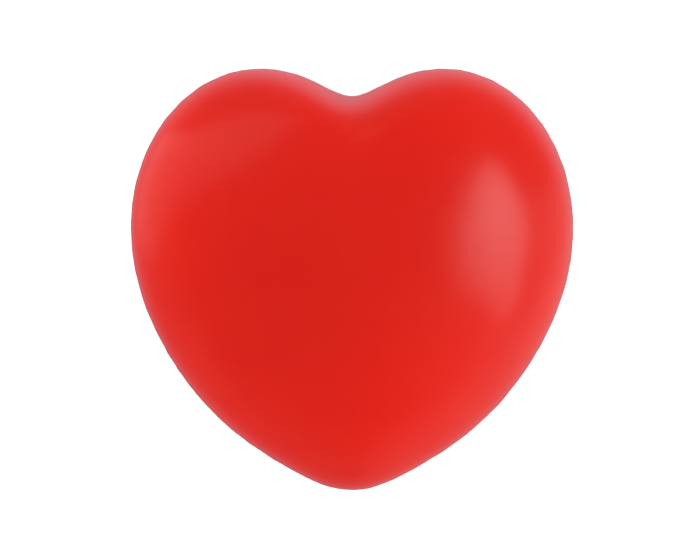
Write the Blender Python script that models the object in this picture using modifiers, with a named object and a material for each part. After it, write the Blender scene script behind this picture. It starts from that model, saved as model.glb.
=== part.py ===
"""Heart-shaped foam stress ball, lying on its back.

X runs across the heart, +Y from the tip to the lobes, +Z out of its front. The origin is on
the surface that it lies on, under the middle of its outline. Sizes are in metres.
"""

import math

import bmesh
import bpy
import numpy as np
from mathutils import Vector

# Overall sizes, over the seam line, from the face that it lies on to the front.
WIDTH = 0.0750
LENGTH = 0.0715
THICKNESS = 0.0520

# The cleft between the lobes, in the outline.
CLEFT_DEPTH = 0.0046
CLEFT_WIDTH = 0.0161
LOBE_SPACING = 0.0362

# How far up the dome the outline's shape lasts: a higher power carries the valley further.
OUTLINE_LASTS = 2.6

# Coat, seam and gate.
SKIN = 0.0012
SEAM_WIDTH = 0.0010
SEAM_PROUD = 0.00015
GATE_DIAMETER = 0.0110
GATE_TOP_DIAMETER = 0.0080
GATE_HEIGHT = 0.0060
GATE_EDGE = 0.0005
FOOT_MARGIN = 0.0015
GAP = 0.0003

# How finely the surfaces are divided.
SEGMENTS = 64
RINGS = 24
GATE_SEGMENTS = 32

SAMPLES = 721
CUTTER_OVERRUN = 0.001

RED = (0.72, 0.018, 0.010, 1.0)
DARK_RED = (0.60, 0.014, 0.009, 1.0)
CREAM = (0.78, 0.68, 0.52, 1.0)


def body_size(overall):
    """A size of the moulded body, without the seam line that stands proud of it on both sides."""
    return overall - 2 * SEAM_PROUD


def outline_points():
    """Half of the heart's outline from the tip to the cleft: x from the middle, y from the tip."""
    half, length = body_size(WIDTH) / 2, body_size(LENGTH)
    flank = [(0, 0), (0.263, 0.045), (0.552, 0.147), (0.818, 0.312), (0.992, 0.559), (0.903, 0.832)]
    lobe = (LOBE_SPACING / 2, 0.9975 * length)
    cleft_side = (CLEFT_WIDTH / 2, length - 0.31 * CLEFT_DEPTH)
    cleft = (0, length - CLEFT_DEPTH)
    return [(x * half, y * length) for x, y in flank] + [lobe, cleft_side, cleft]


def clamped_spline(knots, values):
    """A smooth curve through the values, level at both ends, as a function of numpy arrays."""
    step = np.diff(knots)
    rise = np.diff(values) / step
    count = len(knots)
    system, target = np.zeros((count, count)), np.zeros(count)
    system[0, 0] = system[-1, -1] = 1
    for i in range(1, count - 1):
        system[i, i - 1 : i + 2] = step[i], 2 * (step[i - 1] + step[i]), step[i - 1]
        target[i] = 3 * (step[i] * rise[i - 1] + step[i - 1] * rise[i])
    slope = np.linalg.solve(system, target)

    def curve(at):
        i = np.clip(np.searchsorted(knots, at) - 1, 0, count - 2)
        t = (at - knots[i]) / step[i]
        start = (1 + 2 * t) * (1 - t) ** 2 * values[i] + t * (1 - t) ** 2 * step[i] * slope[i]
        end = t * t * (3 - 2 * t) * values[i + 1] + t * t * (t - 1) * step[i] * slope[i + 1]
        return start + end

    return curve


class HeartForm:
    """The moulded body's surface, as a reach from its middle in each direction.

    The outline is the heart at the parting plane. Towards the front and the back it turns
    into a plain round dome, so the cleft's valley and the tip's edge fade out.
    """

    def __init__(self):
        points = outline_points()
        self.middle = points[4][1]
        turns = np.array([math.atan2(y - self.middle, x) for x, y in points])
        reaches = np.array([math.hypot(x, y - self.middle) for x, y in points])
        self.outline = clamped_spline(turns, reaches)

        around = np.linspace(-math.pi / 2, math.pi / 2, SAMPLES)
        across = self.outline(around) * np.cos(around)
        along = self.outline(around) * np.sin(around)
        self.stretch_x = body_size(WIDTH) / 2 / across.max()
        self.stretch_y = body_size(LENGTH) / (along.max() - along.min())
        self.centre_y = -(along.max() + along.min()) / 2 * self.stretch_y

        self.dome = self.outline(around).mean()

        foot_reach = GATE_DIAMETER / 2 + FOOT_MARGIN
        foot_share = foot_reach / (self.dome * min(self.stretch_x, self.stretch_y))
        foot_sine = math.sqrt(1 - foot_share**2)
        self.half_thickness = THICKNESS / (1 + foot_sine)
        self.parting = self.half_thickness * foot_sine

    def point(self, direction):
        """The surface point for a point of the unit sphere."""
        turn = math.atan2(direction.y, abs(direction.x))
        level = math.hypot(direction.x, direction.y)
        rounded = abs(direction.z) ** OUTLINE_LASTS
        reach = self.outline(turn) * (1 - rounded) + self.dome * rounded
        x = math.copysign(reach * math.cos(turn), direction.x) * level * self.stretch_x
        y = self.centre_y + reach * math.sin(turn) * level * self.stretch_y
        return Vector((x, y, self.parting + self.half_thickness * direction.z))


FORM = HeartForm()


def clear_scene():
    for obj in list(bpy.data.objects):
        bpy.data.objects.remove(obj, do_unlink=True)


def new_collection(name):
    collection = bpy.data.collections.new(name)
    bpy.context.scene.collection.children.link(collection)
    return collection


def new_material(name, colour, roughness):
    material = bpy.data.materials.new(name)
    material.use_nodes = True
    shader = material.node_tree.nodes["Principled BSDF"]
    shader.inputs["Base Color"].default_value = colour
    shader.inputs["Roughness"].default_value = roughness
    shader.inputs["Metallic"].default_value = 0.0
    return material


def new_object(name, bm, collection, origin, material=None):
    """An object of this mesh, with its origin at a point of the world."""
    bmesh.ops.translate(bm, verts=bm.verts, vec=-Vector(origin))
    mesh = bpy.data.meshes.new(name)
    bm.to_mesh(mesh)
    bm.free()
    mesh.shade_smooth()
    mesh.set_sharp_from_angle(angle=math.radians(35))
    obj = bpy.data.objects.new(name, mesh)
    obj.location = origin
    if material:
        mesh.materials.append(material)
    collection.objects.link(obj)
    return obj


def slice_off(bm, height, above):
    """Cuts the mesh at a height and drops what is above or below it, which leaves it open there."""
    bmesh.ops.bisect_plane(
        bm,
        geom=bm.verts[:] + bm.edges[:] + bm.faces[:],
        dist=1e-7,
        plane_co=(0, 0, height),
        plane_no=(0, 0, 1 if above else -1),
        clear_outer=True,
    )


def heart_mesh():
    """The closed moulded body: a sphere drawn out to the heart, trimmed flat where it lies."""
    bm = bmesh.new()
    bmesh.ops.create_uvsphere(bm, u_segments=SEGMENTS, v_segments=RINGS, radius=1)
    for vertex in bm.verts:
        vertex.co = FORM.point(vertex.co)
    slice_off(bm, 0, above=False)
    bmesh.ops.holes_fill(bm, edges=[edge for edge in bm.edges if edge.is_boundary])
    bmesh.ops.recalc_face_normals(bm, faces=bm.faces)
    return bm


def offset(bm, distance):
    """Moves the surface out, or in where the distance is negative, by the same wall everywhere."""
    bm.normal_update()
    moves = [vertex.normal * vertex.calc_shell_factor() * distance for vertex in bm.verts]
    for vertex, move in zip(bm.verts, moves):
        vertex.co += move


def add_wall(obj, thickness):
    """Gives an open surface its wall, inwards."""
    wall = obj.modifiers.new("wall", "SOLIDIFY")
    wall.thickness = thickness
    wall.offset = -1
    wall.use_even_offset = True


def cut_with(obj, cutter):
    cut = obj.modifiers.new("cut", "BOOLEAN")
    cut.operation = "DIFFERENCE"
    cut.solver = "EXACT"
    cut.object = cutter


def round_cutter(name, collection, low_radius, high_radius, low, high):
    """A round cutter between two heights, on the gate's axis."""
    bm = bmesh.new()
    bmesh.ops.create_cone(
        bm,
        cap_ends=True,
        segments=GATE_SEGMENTS,
        radius1=low_radius,
        radius2=high_radius,
        depth=high - low,
    )
    bmesh.ops.translate(bm, verts=bm.verts, vec=(0, FORM.centre_y, (low + high) / 2))
    cutter = new_object(name, bm, collection, (0, FORM.centre_y, low))
    cutter.hide_render = True
    cutter.display_type = "WIRE"
    return cutter


def make_front_skin(parts, material):
    """The coat of the front mould half, whose origin is on the line that a squeeze presses along."""
    bm = heart_mesh()
    slice_off(bm, FORM.parting + SEAM_WIDTH / 2 + GAP, above=False)
    skin = new_object("front_skin", bm, parts, (0, FORM.centre_y, FORM.parting), material)
    add_wall(skin, SKIN)
    return skin


def make_back_skin(parts, cutters, material):
    """The coat of the back mould half, with the flat foot and the gate's opening in it."""
    bm = heart_mesh()
    slice_off(bm, FORM.parting - SEAM_WIDTH / 2 - GAP, above=True)
    skin = new_object("back_skin", bm, parts, (0, FORM.centre_y, 0), material)
    add_wall(skin, SKIN)
    radius = GATE_DIAMETER / 2 + GAP
    opening = round_cutter(
        "gate_opening", cutters, radius, radius, -CUTTER_OVERRUN, SKIN + CUTTER_OVERRUN
    )
    cut_with(skin, opening)
    return skin


def make_seam_bead(parts, material):
    """The ring of trimmed flash that is left all round where the two mould halves met."""
    bm = heart_mesh()
    slice_off(bm, FORM.parting + SEAM_WIDTH / 2, above=True)
    slice_off(bm, FORM.parting - SEAM_WIDTH / 2, above=False)
    offset(bm, SEAM_PROUD)
    bead = new_object("seam_bead", bm, parts, (0, FORM.centre_y, FORM.parting), material)
    add_wall(bead, SKIN + SEAM_PROUD)
    return bead


def make_foam_core(parts, cutters, material):
    """The foam that fills the coat, with the pocket that the gate stub sits in."""
    bm = heart_mesh()
    offset(bm, -(SKIN + GAP))
    core = new_object("foam_core", bm, parts, (0, FORM.centre_y, FORM.parting), material)
    taper = (GATE_DIAMETER - GATE_TOP_DIAMETER) / 2 / GATE_HEIGHT
    low, high = -CUTTER_OVERRUN, GATE_HEIGHT + GAP
    low_radius = GATE_DIAMETER / 2 + GAP - taper * low
    high_radius = GATE_DIAMETER / 2 + GAP - taper * high
    cut_with(core, round_cutter("gate_pocket", cutters, low_radius, high_radius, low, high))
    return core


def make_gate_plug(parts, material):
    """The stub of the pour gate, cut off flush with the foot and sealed with coat."""
    bm = bmesh.new()
    bmesh.ops.create_cone(
        bm,
        cap_ends=True,
        segments=GATE_SEGMENTS,
        radius1=GATE_DIAMETER / 2,
        radius2=GATE_TOP_DIAMETER / 2,
        depth=GATE_HEIGHT,
    )
    top_rim = [edge for edge in bm.edges if all(vertex.co.z > 0 for vertex in edge.verts)]
    bmesh.ops.bevel(bm, geom=top_rim, affect="EDGES", offset=GATE_EDGE, segments=2, profile=0.5)
    bmesh.ops.translate(bm, verts=bm.verts, vec=(0, FORM.centre_y, GATE_HEIGHT / 2))
    return new_object("gate_plug", bm, parts, (0, FORM.centre_y, 0), material)


def main():
    clear_scene()
    parts = new_collection("heart_stress_ball")
    cutters = new_collection("cutters")
    coat = new_material("red_coat", RED, 0.40)
    trim = new_material("trimmed_coat", DARK_RED, 0.55)
    foam = new_material("foam", CREAM, 0.95)
    make_foam_core(parts, cutters, foam)
    make_back_skin(parts, cutters, coat)
    make_front_skin(parts, coat)
    make_seam_bead(parts, trim)
    make_gate_plug(parts, trim)


main()
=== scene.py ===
import math

import bmesh
import bpy
import numpy as np
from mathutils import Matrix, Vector, noise


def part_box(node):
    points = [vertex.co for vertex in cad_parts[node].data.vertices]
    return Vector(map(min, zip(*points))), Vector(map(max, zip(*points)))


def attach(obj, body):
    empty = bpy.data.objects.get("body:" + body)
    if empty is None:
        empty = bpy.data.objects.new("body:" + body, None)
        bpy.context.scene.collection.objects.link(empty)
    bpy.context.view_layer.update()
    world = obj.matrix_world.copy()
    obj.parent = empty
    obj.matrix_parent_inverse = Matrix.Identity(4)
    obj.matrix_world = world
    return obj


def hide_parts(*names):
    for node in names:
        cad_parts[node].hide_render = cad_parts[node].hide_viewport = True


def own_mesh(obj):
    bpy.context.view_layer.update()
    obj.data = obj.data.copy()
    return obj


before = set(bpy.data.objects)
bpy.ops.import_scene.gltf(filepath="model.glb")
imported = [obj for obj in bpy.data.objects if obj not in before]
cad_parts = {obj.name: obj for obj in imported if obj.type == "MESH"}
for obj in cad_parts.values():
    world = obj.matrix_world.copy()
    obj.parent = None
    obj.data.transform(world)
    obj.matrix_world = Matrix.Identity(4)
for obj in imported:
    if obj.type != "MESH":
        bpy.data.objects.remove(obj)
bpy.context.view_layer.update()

mm = 0.001
touching = {"plane": 1e-7, "radius": 1e-6, "rim": 0.01 * mm}    # how near counts as the same place

# the heart's shape, the same as the CAD's; its overall sizes come from the CAD's nodes
heart = {
    # one side's outline from the tip up, as shares of half the width and of the length
    "flank": [
        (0, 0), (0.263, 0.045), (0.552, 0.147), (0.818, 0.312), (0.992, 0.559), (0.903, 0.832),
    ],
    "widest": 4,               # which of these points is level with the outline's middle
    "lobeSpacing": 36.2 * mm,
    "lobeHeight": 0.9975,      # where the lobe's point lies, as a share of the length
    "cleftWidth": 16.1 * mm,
    "cleftDepth": 4.6 * mm,
    "cleftShoulder": 0.31,     # how far down the cleft its side point is
    "outlineLasts": 2.6,       # how far up the dome the valley and the tip's edge last
    "flashProud": 0.15 * mm,
    "coat": 1.2 * mm,
    "gap": 0.3 * mm,           # between the coat and the foam
    "samples": 721,            # where the outline is measured, from the tip to the cleft
}


def clampedSpline(knots, values):
    # a smooth curve through the values, level at both ends: a cubic between each two knots, with
    # the same slope and bend where two of them meet
    step = np.diff(knots)
    rise = np.diff(values) / step
    count = len(knots)
    system, target = np.zeros((count, count)), np.zeros(count)
    system[0, 0] = system[-1, -1] = 1
    for i in range(1, count - 1):
        system[i, i - 1 : i + 2] = step[i], 2 * (step[i - 1] + step[i]), step[i - 1]
        target[i] = 3 * (step[i] * rise[i - 1] + step[i - 1] * rise[i])
    slope = np.linalg.solve(system, target)

    def curve(at):
        i = np.clip(np.searchsorted(knots, at) - 1, 0, count - 2)
        t = (at - knots[i]) / step[i]
        start = (1 + 2 * t) * (1 - t) ** 2 * values[i] + t * (1 - t) ** 2 * step[i] * slope[i]
        end = t * t * (3 - 2 * t) * values[i + 1] + t * t * (t - 1) * step[i] * slope[i + 1]
        return start + end

    return curve


class HeartForm:
    # the moulded surface, as a reach from its middle in each direction

    def __init__(self):
        flashLow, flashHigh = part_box("seam_bead")
        plugLow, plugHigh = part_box("gate_plug")
        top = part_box("front_skin")[1].z
        width = flashHigh.x - flashLow.x - 2 * heart["flashProud"]
        length = flashHigh.y - flashLow.y - 2 * heart["flashProud"]
        self.top = top
        self.parting = (flashLow.z + flashHigh.z) / 2
        self.halfThickness = top - self.parting
        self.centreY = (plugLow.y + plugHigh.y) / 2
        self.gateRadius = (plugHigh.x - plugLow.x) / 2
        self.gateHeight = plugHigh.z - plugLow.z

        points = [(x * width / 2, y * length) for x, y in heart["flank"]]
        points.append((heart["lobeSpacing"] / 2, heart["lobeHeight"] * length))
        cleft = heart["cleftDepth"]
        points.append((heart["cleftWidth"] / 2, length - heart["cleftShoulder"] * cleft))
        points.append((0, length - cleft))
        middle = heart["flank"][heart["widest"]][1] * length
        turns = np.array([math.atan2(y - middle, x) for x, y in points])
        reaches = np.array([math.hypot(x, y - middle) for x, y in points])
        self.outline = clampedSpline(turns, reaches)

        around = np.linspace(-math.pi / 2, math.pi / 2, heart["samples"])
        across = self.outline(around) * np.cos(around)
        along = self.outline(around) * np.sin(around)
        self.stretchX = width / 2 / across.max()
        self.stretchY = length / (along.max() - along.min())
        self.dome = self.outline(around).mean()

    def point(self, direction):
        # the surface point for a point of the unit sphere
        turn = math.atan2(direction.y, abs(direction.x))
        level = math.hypot(direction.x, direction.y)
        rounded = abs(direction.z) ** heart["outlineLasts"]
        reach = float(self.outline(turn)) * (1 - rounded) + self.dome * rounded
        x = math.copysign(reach * math.cos(turn), direction.x) * level * self.stretchX
        y = self.centreY + reach * math.sin(turn) * level * self.stretchY
        return Vector((x, y, self.parting + self.halfThickness * direction.z))


form = HeartForm()
print(f"heart form: parting at {form.parting / mm:.2f} mm, gate at y {form.centreY / mm:.2f} mm")


def linear(hexColour):
    # sRGB hex to the linear colour that nodes take
    parts = [int(hexColour[i : i + 2], 16) / 255 for i in (1, 3, 5)]
    return [c / 12.92 if c <= 0.04045 else ((c + 0.055) / 1.055) ** 2.4 for c in parts] + [1.0]


def addNode(tree, kind, settings=None, links=None):
    # one node with its settings and the sockets that feed it
    node = tree.nodes.new(kind)
    for name, value in (settings or {}).items():
        if isinstance(name, int) or name in node.inputs:
            node.inputs[name].default_value = value
        else:
            setattr(node, name, value)
    for name, source in (links or {}).items():
        tree.links.new(source, node.inputs[name])
    return node


def newMaterial(name, finish):
    # a Principled material; finish holds what is the same all over the surface
    material = bpy.data.materials.new(name)
    material.use_nodes = True
    tree = material.node_tree
    shader = tree.nodes["Principled BSDF"]
    for socket, value in finish.items():
        shader.inputs[socket].default_value = value
    place = addNode(tree, "ShaderNodeTexCoord").outputs["Object"]
    return material, tree, shader, place


def perMetre(size):
    # a texture's scale for features of this size
    return 1 / size


# polyurethane in-mould coat, sprayed into a fine-textured mould before the foam is poured: a satin,
# faintly grained skin whose colour is even, but for slow mottling and specks of dust
coatFinish = {
    "deepRed": "#DB1A10",
    "brightRed": "#E0210F",
    "speckRed": "#A81712",
    "mottle": 9 * mm,
    "mottleRange": (0.35, 0.65),    # the noise values at which the gloss is at its ends
    "smooth": 0.245,
    "rough": 0.271,
    "grain": 0.33 * mm,         # the real grain is about 0.2 mm, drawn coarser so that it shows
    "grainDepth": 0.0060 * mm,
    "grainRange": (0.3, 0.7),
    "glint": (0.37, 0.63),      # the specular level in the grain's pits and on its tops
    "orangePeel": 1.6 * mm,
    "peelDepth": 0.0080 * mm,
    "speckSpacing": 2.6 * mm,
    "speckSize": 0.10 * mm,     # dust under 0.1 mm, drawn a little larger
    "speckFade": (0.5, 1.2),    # where a speck starts and stops fading, in its own sizes
    "speckStrength": 0.6,
    "softEdge": 0.12,           # how strongly the coat's soft surface glows where it turns away
    "softEdgeSpread": 0.35,
    "softEdgeColour": "#FF8C96",
    "ior": 1.5,
}


def coatedFoamRed():
    f = coatFinish
    material, tree, shader, place = newMaterial(
        "coatedFoamRed",
        {"IOR": f["ior"], "Sheen Weight": f["softEdge"],
         "Sheen Roughness": f["softEdgeSpread"], "Sheen Tint": linear(f["softEdgeColour"])},
    )
    mottle = addNode(
        tree, "ShaderNodeTexNoise",
        {"Scale": perMetre(f["mottle"]), "Detail": 3.0, "Roughness": 0.55}, {"Vector": place},
    )
    colour = addNode(
        tree, "ShaderNodeMix",
        {"data_type": "RGBA", 6: linear(f["deepRed"]), 7: linear(f["brightRed"])},
        {0: mottle.outputs["Fac"]},
    )
    dust = addNode(
        tree, "ShaderNodeTexVoronoi",
        {"Scale": perMetre(f["speckSpacing"]), "Randomness": 1.0}, {"Vector": place},
    )
    core, edge = f["speckFade"]
    speck = addNode(
        tree, "ShaderNodeMapRange",
        {"From Min": core * f["speckSize"] / f["speckSpacing"],
         "From Max": edge * f["speckSize"] / f["speckSpacing"],
         "To Min": f["speckStrength"], "To Max": 0.0},
        {"Value": dust.outputs["Distance"]},
    )
    speckled = addNode(
        tree, "ShaderNodeMix",
        {"data_type": "RGBA", 7: linear(f["speckRed"])},
        {0: speck.outputs["Result"], 6: colour.outputs[2]},
    )
    low, high = f["mottleRange"]
    gloss = addNode(
        tree, "ShaderNodeMapRange",
        {"From Min": low, "From Max": high, "To Min": f["smooth"], "To Max": f["rough"]},
        {"Value": mottle.outputs["Fac"]},
    )
    grain = addNode(
        tree, "ShaderNodeTexNoise",
        {"Scale": perMetre(f["grain"]), "Detail": 1.0, "Roughness": 0.5}, {"Vector": place},
    )
    low, high = f["grainRange"]
    pit, top = f["glint"]
    glint = addNode(
        tree, "ShaderNodeMapRange",
        {"From Min": low, "From Max": high, "To Min": pit, "To Max": top},
        {"Value": grain.outputs["Fac"]},
    )
    peel = addNode(
        tree, "ShaderNodeTexNoise",
        {"Scale": perMetre(f["orangePeel"]), "Detail": 2.0, "Roughness": 0.5}, {"Vector": place},
    )
    peelBump = addNode(
        tree, "ShaderNodeBump", {"Distance": f["peelDepth"]}, {"Height": peel.outputs["Fac"]},
    )
    grainBump = addNode(
        tree, "ShaderNodeBump", {"Distance": f["grainDepth"]},
        {"Height": grain.outputs["Fac"], "Normal": peelBump.outputs["Normal"]},
    )
    tree.links.new(speckled.outputs[2], shader.inputs["Base Color"])
    tree.links.new(gloss.outputs["Result"], shader.inputs["Roughness"])
    tree.links.new(glint.outputs["Result"], shader.inputs["Specular IOR Level"])
    tree.links.new(grainBump.outputs["Normal"], shader.inputs["Normal"])
    return material


# the same coat where the two mould halves met, trimmed with a blade: thinner, duller, with short
# cuts across it and the foam's paler colour in the deepest of them
flashFinish = {
    "coat": "#C4170F",
    "cut": "#B8402F",
    "cutSpacing": 1.1 * mm,
    "cutDepth": 0.03 * mm,
    "cutRange": (0.55, 0.72),   # the noise values at which a cut begins and is at its deepest
    "rough": 0.52,
    "ior": 1.5,
}


def trimmedFlashRed():
    f = flashFinish
    material, tree, shader, place = newMaterial(
        "trimmedFlashRed", {"Roughness": f["rough"], "IOR": f["ior"]},
    )
    cuts = addNode(
        tree, "ShaderNodeTexNoise",
        {"Scale": perMetre(f["cutSpacing"]), "Detail": 4.0, "Roughness": 0.7}, {"Vector": place},
    )
    start, deepest = f["cutRange"]
    depth = addNode(
        tree, "ShaderNodeMapRange", {"From Min": start, "From Max": deepest},
        {"Value": cuts.outputs["Fac"]},
    )
    colour = addNode(
        tree, "ShaderNodeMix",
        {"data_type": "RGBA", 6: linear(f["coat"]), 7: linear(f["cut"])},
        {0: depth.outputs["Result"]},
    )
    bump = addNode(
        tree, "ShaderNodeBump", {"Distance": f["cutDepth"]}, {"Height": cuts.outputs["Fac"]},
    )
    tree.links.new(colour.outputs[2], shader.inputs["Base Color"])
    tree.links.new(bump.outputs["Normal"], shader.inputs["Normal"])
    return material


# the cut foam stub of the pour gate, sealed with coat dabbed on by brush: dull, streaked, pinholed
gateFinish = {
    "coat": "#BE1A12",
    "thin": "#CF5A45",
    "streak": 1.4 * mm,
    "streakStretch": 5.0,
    "streakTurn": 0.6,          # radians
    "thinRange": (0.54, 0.75),  # the noise values between which the coat gets thin
    "pinholeSpacing": 1.3 * mm,
    "pinholeSize": 0.16 * mm,
    "streakDepth": 0.08 * mm,
    "pinholeDepth": 0.06 * mm,
    "rough": 0.6,
    "ior": 1.5,
}


def brushedSealRed():
    f = gateFinish
    material, tree, shader, place = newMaterial(
        "brushedSealRed", {"Roughness": f["rough"], "IOR": f["ior"]},
    )
    along = addNode(
        tree, "ShaderNodeMapping",
        {"Scale": (1, f["streakStretch"], 1), "Rotation": (0, 0, f["streakTurn"])},
        {"Vector": place},
    )
    size = f["streak"] * f["streakStretch"] ** 0.5
    streaks = addNode(
        tree, "ShaderNodeTexNoise",
        {"Scale": perMetre(size), "Detail": 4.0, "Roughness": 0.6},
        {"Vector": along.outputs["Vector"]},
    )
    start, thinnest = f["thinRange"]
    thin = addNode(
        tree, "ShaderNodeMapRange", {"From Min": start, "From Max": thinnest},
        {"Value": streaks.outputs["Fac"]},
    )
    colour = addNode(
        tree, "ShaderNodeMix",
        {"data_type": "RGBA", 6: linear(f["coat"]), 7: linear(f["thin"])},
        {0: thin.outputs["Result"]},
    )
    holes = addNode(
        tree, "ShaderNodeTexVoronoi", {"Scale": perMetre(f["pinholeSpacing"])}, {"Vector": place},
    )
    hole = addNode(
        tree, "ShaderNodeMapRange",
        {"From Min": 0.0, "From Max": f["pinholeSize"] / f["pinholeSpacing"]},
        {"Value": holes.outputs["Distance"]},
    )
    streakBump = addNode(
        tree, "ShaderNodeBump", {"Distance": f["streakDepth"]}, {"Height": streaks.outputs["Fac"]},
    )
    holeBump = addNode(
        tree, "ShaderNodeBump", {"Distance": f["pinholeDepth"]},
        {"Height": hole.outputs["Result"], "Normal": streakBump.outputs["Normal"]},
    )
    tree.links.new(colour.outputs[2], shader.inputs["Base Color"])
    tree.links.new(holeBump.outputs["Normal"], shader.inputs["Normal"])
    return material


# flexible polyurethane foam as it comes out of a mould: cream, matt, with open cells under a
# millimetre across, whose struts catch the light and whose hollows are painted darker as shade
foamFinish = {
    "strut": "#EFE2C4",
    # the hollows' darker colour is painted shade
    "shadedHollow": "#B89C6C",
    "cell": 0.8 * mm,
    "cellDepth": 0.25 * mm,
    "strutWidth": (0.05, 0.35),     # where a strut ends and a hollow is full, as shares of a cell
    "rough": 0.95,
}


def openCellFoam():
    f = foamFinish
    material, tree, shader, place = newMaterial("openCellFoam", {"Roughness": f["rough"]})
    cells = addNode(
        tree, "ShaderNodeTexVoronoi",
        {"feature": "DISTANCE_TO_EDGE", "Scale": perMetre(f["cell"])}, {"Vector": place},
    )
    strut, full = f["strutWidth"]
    shadedHollow = addNode(
        tree, "ShaderNodeMapRange", {"From Min": strut, "From Max": full},
        {"Value": cells.outputs["Distance"]},
    )
    # painted shade: the cells' hollows are coloured darker than the struts
    colour = addNode(
        tree, "ShaderNodeMix",
        {"data_type": "RGBA", 6: linear(f["strut"]), 7: linear(f["shadedHollow"])},
        {0: shadedHollow.outputs["Result"]},
    )
    bump = addNode(
        tree, "ShaderNodeBump", {"Distance": f["cellDepth"], "invert": True},
        {"Height": shadedHollow.outputs["Result"]},
    )
    tree.links.new(colour.outputs[2], shader.inputs["Base Color"])
    tree.links.new(bump.outputs["Normal"], shader.inputs["Normal"])
    return material


def newPiece(name, bm, material, body, node):
    # an object of this mesh at the origin, riding on its CAD body in place of its CAD node
    mesh = bpy.data.meshes.new(name)
    bm.to_mesh(mesh)
    bm.free()
    mesh.shade_smooth()
    mesh.materials.append(material)
    piece = bpy.data.objects.new(name, mesh)
    bpy.context.scene.collection.objects.link(piece)
    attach(piece, body)
    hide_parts(node)
    print(f"{name}: {sum(len(p.vertices) - 2 for p in mesh.polygons)} triangles")
    return piece


def vertsOf(made):
    # the vertices among what an operator made
    return [g for g in made["geom"] if isinstance(g, bmesh.types.BMVert)]


def sliceOff(bm, height, above):
    # drops what is above or below a height
    bmesh.ops.bisect_plane(
        bm, geom=bm.verts[:] + bm.edges[:] + bm.faces[:], dist=touching["plane"],
        plane_co=(0, 0, height), plane_no=(0, 0, 1 if above else -1), clear_outer=True,
    )


def cutLine(bm, height):
    # an edge loop at a height, which drops nothing
    bmesh.ops.bisect_plane(
        bm, geom=bm.verts[:] + bm.edges[:] + bm.faces[:], dist=touching["plane"],
        plane_co=(0, 0, height), plane_no=(0, 0, 1),
    )


def heartShell(cuts):
    # a cube's grid blown up to an even sphere and drawn out to the heart
    bm = bmesh.new()
    bmesh.ops.create_cube(bm, size=2)
    bmesh.ops.subdivide_edges(bm, edges=bm.edges[:], cuts=cuts, use_grid_fill=True)
    for vert in bm.verts:
        even = Vector([math.tan(c * math.pi / 4) for c in vert.co])
        vert.co = form.point(even.normalized())
    bmesh.ops.recalc_face_normals(bm, faces=bm.faces)
    return bm


def sink(bm, depths):
    # moves each vertex in along its normal by its depth
    bm.normal_update()
    moves = [-vert.normal * depth for vert, depth in zip(bm.verts, depths)]
    for vert, move in zip(bm.verts, moves):
        vert.co += move


# how the moulded surface strays from the perfect form: slow waves where the foam shrank as it
# cured, and one shallow sink mark on the upper left; and the rounded lips where the halves meet
moulding = {
    "waveDepth": 0.05 * mm,
    "waveLength": 17 * mm,
    "waveShift": (3.1, 7.4, 1.9),   # which part of the noise the waves are taken from
    "sinkMark": (-18.1 * mm, 11.4 * mm),
    "sinkRadius": 3.0 * mm,
    "sinkDepth": 0.12 * mm,
    "lipRadius": 0.22 * mm,
    "lipSteps": 5,
    "lipCrowding": 1.5,         # how much closer together the steps are at the rim
    "lipGap": 0.02 * mm,
    "flashHalfWidth": 0.27 * mm,
    "cuts": 110,                # how finely the shell is divided
}


def straying(co):
    # how far a point lies inside the perfect form
    wave = noise.noise(co / moulding["waveLength"] + Vector(moulding["waveShift"]))
    depth = moulding["waveDepth"] * (wave + 1) / 2
    if co.z > form.parting:
        away = (Vector(co.xy) - Vector(moulding["sinkMark"])).length / moulding["sinkRadius"]
        if away < 1:
            depth += moulding["sinkDepth"] * (1 - away * away) ** 2
    return depth


def rollLip(bm, rim, side):
    # rounds the coat's edge in towards the parting line, so that the flash stands in a groove
    radius = moulding["lipRadius"]
    lip = []
    for vert in bm.verts:
        within = radius - side * (vert.co.z - rim)
        if within > 0:
            lip.append(radius - math.sqrt(max(radius**2 - min(within, radius) ** 2, 0)))
        else:
            lip.append(0)
    sink(bm, lip)


def coatHalf(side):
    # one mould half's coat as an open surface: side is 1 at the front, -1 at the back
    bm = heartShell(moulding["cuts"])
    rim = form.parting + side * (moulding["flashHalfWidth"] + moulding["lipGap"])
    sliceOff(bm, rim, above=side < 0)
    for i in range(1, moulding["lipSteps"] + 1):
        share = (i / moulding["lipSteps"]) ** moulding["lipCrowding"]
        cutLine(bm, rim + side * moulding["lipRadius"] * share)
    sink(bm, [straying(vert.co) for vert in bm.verts])
    rollLip(bm, rim, side)
    return bm


def addWall(bm):
    # the coat's thickness, inwards
    bmesh.ops.recalc_face_normals(bm, faces=bm.faces)
    bmesh.ops.solidify(bm, geom=bm.faces[:], thickness=heart["coat"])


def rimVerts(bm, height):
    # the vertices of the open edge at a height
    return [v for v in bm.verts if v.is_boundary and abs(v.co.z - height) < touching["rim"]]


def fromGate(vert):
    # a vertex's way from the gate's axis
    return Vector((vert.co.x, vert.co.y - form.centreY))


def ringAt(verts, radius, height):
    # places vertices on a circle round the gate's axis, each in its own direction
    for vert in verts:
        away = fromGate(vert).normalized() * radius
        vert.co = (away.x, form.centreY + away.y, height)


def extrudeRim(bm, verts, radius, height):
    # carries an open edge on to a circle and returns the new edge's vertices
    edges = list(dict.fromkeys(e for v in verts for e in v.link_edges if e.is_boundary))
    fresh = vertsOf(bmesh.ops.extrude_edge_only(bm, edges=edges))
    ringAt(fresh, radius, height)
    return fresh


# the flat that it lies on: a ring round the gate's opening, with a soft lip at the opening
foot = {
    "openingGap": 0.06 * mm,
    "ringSteps": 4,
    "lipRadius": 0.25 * mm,
    "lipSteps": 4,
}


def frontCoat(material):
    bm = coatHalf(1)
    addWall(bm)
    return newPiece("frontCoat", bm, material, "front", "front_skin")


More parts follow.
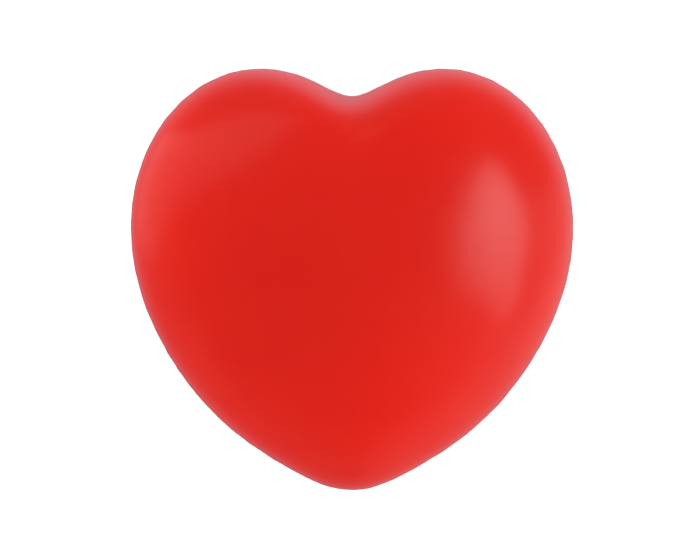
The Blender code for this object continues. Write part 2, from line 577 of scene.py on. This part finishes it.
def backCoat(material):
    bm = coatHalf(-1)
    sliceOff(bm, 0, above=False)
    rim = rimVerts(bm, 0)
    reach = min(fromGate(v).length for v in rim)
    opening = form.gateRadius + foot["openingGap"] + foot["lipRadius"]
    for i in range(1, foot["ringSteps"] + 1):
        rim = extrudeRim(bm, rim, reach + (opening - reach) * i / foot["ringSteps"], 0)
    for i in range(1, foot["lipSteps"] + 1):
        turn = math.pi / 2 * i / foot["lipSteps"]
        radius = opening - foot["lipRadius"] * math.sin(turn)
        rim = extrudeRim(bm, rim, radius, foot["lipRadius"] * (1 - math.cos(turn)))
    addWall(bm)
    return newPiece("backCoat", bm, material, "back", "back_skin")


# the line of flash at the parting, trimmed close by hand, so how far it stands out wanders
flash = {
    "around": 900,
    "proud": (0.04 * mm, 0.14 * mm),
    "rows": 8,
    "nickLength": 2.2 * mm,
    "nickStrength": 0.6,
    "fineNicks": 3.7,           # how many times finer the second set of nicks is
    "fineShare": 0.5,
}


def flashHeight(co):
    low, high = flash["proud"]
    at = co / flash["nickLength"]
    rough = noise.noise(at) + flash["fineShare"] * noise.noise(at * flash["fineNicks"])
    return low + (high - low) * min(max(0.5 + flash["nickStrength"] * rough, 0), 1)


def flashLine(material):
    # a closed ring: its inner edge, the rounded face row by row, and its inner edge again; the rows
    # lie on the girth until all of them are made
    bm = bmesh.new()
    bmesh.ops.create_circle(bm, segments=flash["around"], radius=1)
    for vert in bm.verts:
        vert.co = form.point(vert.co.normalized())
    face = [2 * i / (flash["rows"] + 1) - 1 for i in range(flash["rows"] + 2)]
    shares = [-1, *face, 1]
    rows, first = [bm.verts[:]], bm.edges[:]
    last = first
    for _ in shares[1:]:
        made = bmesh.ops.extrude_edge_only(bm, edges=last)
        rows.append(vertsOf(made))
        last = [g for g in made["geom"] if isinstance(g, bmesh.types.BMEdge) and g.is_boundary]
    middle = Vector((0, form.centreY, form.parting))
    for i, (row, share) in enumerate(zip(rows, shares)):
        inner = i in (0, len(rows) - 1)
        for vert in row:
            proud = -heart["coat"] if inner else flashHeight(vert.co) * math.sqrt(1 - share * share)
            out = (vert.co - middle).normalized()
            vert.co += out * proud + Vector((0, 0, share * moulding["flashHalfWidth"]))
    bmesh.ops.bridge_loops(bm, edges=first + last)
    bmesh.ops.recalc_face_normals(bm, faces=bm.faces)
    return newPiece("flashLine", bm, material, "back", "seam_bead")


# the stub of foam left in the gate, cut off flush and sealed
gate = {
    "around": 96,
    "rings": 14,
    "edgeRadius": 0.35 * mm,
    "topRadius": 4.0 * mm,
    "unevenness": 0.10 * mm,
    "lumpSize": 2.6 * mm,
    "lumpRange": (0.6, 0.5),    # their usual height and spread, as shares of the unevenness
    "fineLumps": 3.1,           # how many times finer the second set of lumps is
    "fineShare": 0.5,
    "edgeFall": 6,              # how late the lumps fade out towards the edge
}


def gatePlug(material):
    bm = bmesh.new()
    bmesh.ops.create_circle(bm, cap_ends=True, segments=gate["around"], radius=form.gateRadius)
    flat = form.gateRadius - gate["edgeRadius"]
    bm.faces.ensure_lookup_table()
    face = bm.faces[0]
    bmesh.ops.inset_individual(bm, faces=[face], thickness=gate["edgeRadius"])
    step = flat / (gate["rings"] + 1)
    for i in range(gate["rings"]):
        bmesh.ops.inset_individual(bm, faces=[face], thickness=step, use_even_offset=False)
    usual, spread = gate["lumpRange"]
    for vert in bm.verts:
        away = vert.co.length
        if away < flat + touching["radius"]:
            at = vert.co / gate["lumpSize"]
            lump = noise.noise(at) + gate["fineShare"] * noise.noise(at * gate["fineLumps"])
            fade = 1 - (away / flat) ** gate["edgeFall"]
            vert.co.z = gate["unevenness"] * (usual + spread * lump) * fade
        else:
            vert.co.z = gate["edgeRadius"]
    rim = [e for e in bm.edges if e.is_boundary]
    for vert in vertsOf(bmesh.ops.extrude_edge_only(bm, edges=rim)):
        vert.co = Vector((vert.co.x, vert.co.y, 0)).normalized() * gate["topRadius"]
        vert.co.z = form.gateHeight
    bmesh.ops.contextual_create(bm, geom=[e for e in bm.edges if e.is_boundary])
    bmesh.ops.translate(bm, verts=bm.verts, vec=(0, form.centreY, 0))
    bmesh.ops.recalc_face_normals(bm, faces=bm.faces)
    return newPiece("gatePlug", bm, material, "back", "gate_plug")


# the foam inside, moulded against the coat, with its skin of cells and the gate's pocket
foam = {
    "cuts": 76,                 # how finely the core is divided
    "pebble": 1.4 * mm,
    "pebbleDepth": 0.10 * mm,
    "pocketSteps": 6,
}


def foamCore(material):
    bm = heartShell(foam["cuts"])
    inset = heart["coat"] + heart["gap"]
    rough = [
        inset + foam["pebbleDepth"] * (noise.noise(v.co / foam["pebble"]) + 1) / 2 for v in bm.verts
    ]
    sink(bm, rough)
    sliceOff(bm, inset, above=False)
    rim = rimVerts(bm, inset)
    taper = (form.gateRadius - gate["topRadius"]) / form.gateHeight
    mouth = form.gateRadius + heart["gap"] - taper * inset
    end = form.gateHeight + heart["gap"]
    endRadius = form.gateRadius + heart["gap"] - taper * end
    reach = min(fromGate(v).length for v in rim)
    rim = extrudeRim(bm, rim, (reach + mouth) / 2, inset)
    rim = extrudeRim(bm, rim, mouth, inset)
    for i in range(1, foam["pocketSteps"] + 1):
        share = i / foam["pocketSteps"]
        radius = mouth + (endRadius - mouth) * share
        rim = extrudeRim(bm, rim, radius, inset + (end - inset) * share)
    bmesh.ops.contextual_create(bm, geom=[e for e in bm.edges if e.is_boundary])
    bmesh.ops.recalc_face_normals(bm, faces=bm.faces)
    return newPiece("foamCore", bm, material, "back", "foam_core")


red = coatedFoamRed()
front = frontCoat(red)
back = backCoat(red)
seam = flashLine(trimmedFlashRed())
plug = gatePlug(brushedSealRed())
core = foamCore(openCellFoam())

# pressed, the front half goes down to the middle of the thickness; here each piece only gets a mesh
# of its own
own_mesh(front)
for piece in (back, seam, plug, core):
    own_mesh(piece)


# a white room with a white floor; sizes are in metres, and glows are shares of white
studio = {
    "floorSize": 6.0,
    "floorColour": "#8C8C8C",   # a grey floor that glows, so that it is white all round the heart
    "floorRough": 0.9,
    "floorGlow": 0.92,
    "paintedShadowGlow": 0.35,         # the glow close to the foot, turned down there as a painted shadow under the heart
    "paintedShadowReach": (5 * mm, 30 * mm),
    "wallGlow": 0.96,
    "wallSides": 64,
    "wallFoot": -0.1,           # how high the wall starts, as a share of the floor's size
    "lightColour": "#FFFFFF",
    "skyColour": "#F6EEFF",
    "topGlow": 0.15,
    "topFade": (-0.15, 0.5),    # the heights, from -1 to 1, between which the top's glow comes up
    "sideGlow": 0.38,
    "sideContrast": 0.34,
    "sideFade": (-0.25, -0.85),
    "brightSide": 35,           # degrees from +Y towards +X to the bright side
    "cameraDistance": 0.6,
    "cameraAim": (-0.34 * mm, -0.11 * mm),
    "viewWidth": 118.5 * mm,    # what the view spans at the heart's girth
    "sensorWidth": 36,          # in mm
}


def compass(azimuth, elevation):
    # a direction by its angle from +Y towards +X and its height over the floor
    a, e = math.radians(azimuth), math.radians(elevation)
    return Vector((math.sin(a) * math.cos(e), math.cos(a) * math.cos(e), math.sin(e)))


def newStage(name, bm, material):
    # an object of this mesh that belongs to the studio; its glow is left to the rays that meet it
    mesh = bpy.data.meshes.new(name)
    bm.to_mesh(mesh)
    bm.free()
    mesh.materials.append(material)
    material.cycles.emission_sampling = "NONE"
    thing = bpy.data.objects.new(name, mesh)
    bpy.context.scene.collection.objects.link(thing)
    return thing


def addFloor():
    bm = bmesh.new()
    bmesh.ops.create_grid(bm, x_segments=1, y_segments=1, size=studio["floorSize"] / 2)
    material, tree, shader, place = newMaterial(
        "paleFloor",
        {"Base Color": linear(studio["floorColour"]), "Roughness": studio["floorRough"],
         "Emission Color": linear(studio["lightColour"])},
    )
    away = addNode(tree, "ShaderNodeVectorMath", {"operation": "LENGTH"}, {0: place})
    near, far = studio["paintedShadowReach"]
    # painted shadow: the floor's glow is turned down close to the foot, darkening the floor under
    # the heart
    glow = addNode(
        tree, "ShaderNodeMapRange",
        {"interpolation_type": "SMOOTHSTEP", "From Min": near, "From Max": far,
         "To Min": studio["paintedShadowGlow"], "To Max": studio["floorGlow"]},
        {"Value": away.outputs["Value"]},
    )
    tree.links.new(glow.outputs["Result"], shader.inputs["Emission Strength"])
    floor = newStage("floor", bm, material)
    floor.visible_glossy = False


def addBackdrop():
    # the pale wall all round that is behind the heart when it is looked at from the side
    bm = bmesh.new()
    size = studio["floorSize"]
    rim = bmesh.ops.create_circle(bm, segments=studio["wallSides"], radius=size / 2)["verts"]
    bmesh.ops.translate(bm, verts=rim, vec=(0, 0, studio["wallFoot"] * size))
    upper = vertsOf(bmesh.ops.extrude_edge_only(bm, edges=bm.edges[:]))
    bmesh.ops.translate(bm, verts=upper, vec=(0, 0, size))
    material = newMaterial(
        "paleWall",
        {"Base Color": linear("#000000"), "Specular IOR Level": 0.0,
         "Emission Color": linear(studio["lightColour"]), "Emission Strength": studio["wallGlow"]},
    )[0]
    backdrop = newStage("backdrop", bm, material)
    backdrop.visible_diffuse = False
    backdrop.visible_glossy = False
    backdrop.visible_shadow = False


def addSurroundings():
    # the room as the satin coat mirrors it: dim overhead, dark round the sides, and bright
    # below, more so on one side
    world = bpy.data.worlds.new("surroundings")
    bpy.context.scene.world = world
    world.use_nodes = True
    tree = world.node_tree
    sky = tree.nodes["Background"]
    towards = addNode(tree, "ShaderNodeTexCoord").outputs["Generated"]
    split = addNode(tree, "ShaderNodeSeparateXYZ", None, {0: towards})
    lit = addNode(
        tree, "ShaderNodeVectorMath",
        {"operation": "DOT_PRODUCT", 1: compass(studio["brightSide"], 0)}, {0: towards},
    )
    side = addNode(
        tree, "ShaderNodeMapRange",
        {"From Min": -1, "From Max": 1, "To Min": studio["sideGlow"] - studio["sideContrast"],
         "To Max": studio["sideGlow"] + studio["sideContrast"]},
        {"Value": lit.outputs["Value"]},
    )
    start, full = studio["sideFade"]
    low = addNode(
        tree, "ShaderNodeMapRange",
        {"interpolation_type": "SMOOTHSTEP", "From Min": start, "From Max": full},
        {"Value": split.outputs["Z"]},
    )
    start, full = studio["topFade"]
    top = addNode(
        tree, "ShaderNodeMapRange",
        {"interpolation_type": "SMOOTHSTEP", "From Min": start, "From Max": full,
         "To Max": studio["topGlow"]},
        {"Value": split.outputs["Z"]},
    )
    glow = addNode(
        tree, "ShaderNodeMath", {"operation": "MULTIPLY_ADD"},
        {0: low.outputs["Result"], 1: side.outputs["Result"], 2: top.outputs["Result"]},
    )
    tree.links.new(glow.outputs[0], sky.inputs["Strength"])
    sky.inputs["Color"].default_value = linear(studio["skyColour"])


# the glowing panels that the satin coat mirrors, each fanned out from its middle to its corners.
# a point is an azimuth and an elevation in degrees, and its brightness: a window on the right, a
# wedge of wall at the upper left and the bright table edge at the lower right
panels = {
    "window": {
        "distance": 0.9,
        "middle": (76, 33, 2.95),
        "corners": [
            (55, 20, 2.6), (66, 15, 2.4), (78, 11, 2.2), (90, 5, 1.9), (101, 0, 1.5),
            (111, -4, 1.0), (122, -4, 0.6), (128, 4, 0.5), (122, 24, 0.6), (114, 38, 0.6),
            (103, 46, 0.5), (90, 50, 0.4), (78, 50, 0.3), (66, 44, 0.4), (58, 32, 1.6),
        ],
    },
    "wallWedge": {
        "distance": 0.9,
        "middle": (-48, 14, 0.56),
        "corners": [
            (-1, 8, 0.5), (-20, 8, 0.46), (-38, 4, 0.42), (-52, -8, 0.42), (-58, -40, 0.75),
            (-90, -45, 0.45), (-98, -20, 0.32), (-86, -2, 0.32), (-77, 12, 0.36), (-66, 24, 0.48),
            (-50, 34, 0.56), (-30, 32, 0.54), (-12, 20, 0.5),
        ],
    },
    "tableEdge": {
        "distance": 1.0,
        "middle": (120, -20, 0.36),
        "corners": [
            (75, -53, 0.5), (75, 13, 0.2), (100, 45, 0.12), (125, 62, 0.2), (155, 50, 0.12),
            (172, 13, 0.05), (172, -53, 0.15),
        ],
    },
}

# soft lamps that light the colour but don't show as highlights, as a light tent does, in degrees,
# metres and watts
fills = {
    "tentLeft": {"azimuth": -80, "elevation": 60, "distance": 1.4, "size": 1.0, "power": 5.6},
    "tentLeftLow": {"azimuth": -85, "elevation": 12, "distance": 1.2, "size": 0.4, "power": 1.8},
    "tentTip": {"azimuth": -135, "elevation": 25, "distance": 1.2, "size": 0.5, "power": 5.6},
    "tentBack": {"azimuth": -20, "elevation": 12, "distance": 1.2, "size": 0.4, "power": 6.8},
    "tentRight": {"azimuth": 95, "elevation": 30, "distance": 1.2, "size": 0.5, "power": 4.6},
    "tentRightLow": {"azimuth": 85, "elevation": 15, "distance": 1.2, "size": 0.4, "power": 2.2},
    "tentLowRight": {"azimuth": 145, "elevation": 12, "distance": 1.2, "size": 0.4, "power": 1.6},
    "tentBottom": {"azimuth": 180, "elevation": 12, "distance": 1.2, "size": 0.4, "power": 1.8},
}


def addPanel(name, p):
    bm = bmesh.new()
    glow = bm.verts.layers.float.new("glow")
    around = []
    for azimuth, elevation, brightness in (p["middle"], *p["corners"]):
        vert = bm.verts.new(compass(azimuth, elevation) * p["distance"])
        vert[glow] = brightness
        around.append(vert)
    middle = around.pop(0)
    for i, vert in enumerate(around):
        bm.faces.new((middle, around[i - 1], vert))
    material = bpy.data.materials.new(name)
    material.use_nodes = True
    tree = material.node_tree
    tree.nodes.clear()
    brightness = addNode(tree, "ShaderNodeAttribute", {"attribute_name": "glow"}).outputs["Fac"]
    light = addNode(
        tree, "ShaderNodeEmission", {"Color": linear(studio["lightColour"])},
        {"Strength": brightness},
    )
    addNode(tree, "ShaderNodeOutputMaterial", None, {"Surface": light.outputs["Emission"]})
    panel = newStage(name, bm, material)
    panel.location = (0, 0, form.parting)
    panel.visible_camera = False
    panel.visible_shadow = False


def addFill(name, f):
    light = bpy.data.lights.new(name, "AREA")
    light.size = f["size"]
    light.energy = f["power"]
    light.cycles.use_multiple_importance_sampling = False
    lamp = bpy.data.objects.new(name, light)
    towards = compass(f["azimuth"], f["elevation"])
    lamp.location = towards * f["distance"]
    lamp.rotation_euler = towards.to_track_quat("Z", "Y").to_euler()
    lamp.visible_glossy = False
    lamp.visible_camera = False
    bpy.context.scene.collection.objects.link(lamp)


def addCamera():
    data = bpy.data.cameras.new("camera")
    data.sensor_width = studio["sensorWidth"]
    data.lens = data.sensor_width * studio["cameraDistance"] / studio["viewWidth"]
    camera = bpy.data.objects.new("camera", data)
    camera.location = (*studio["cameraAim"], form.parting + studio["cameraDistance"])
    bpy.context.scene.collection.objects.link(camera)
    bpy.context.scene.camera = camera


addFloor()
addBackdrop()
addSurroundings()
for name, panel in panels.items():
    addPanel(name, panel)
for name, fill in fills.items():
    addFill(name, fill)
addCamera()
bpy.context.scene.view_settings.view_transform = "Standard"
print("floor, light and camera placed")
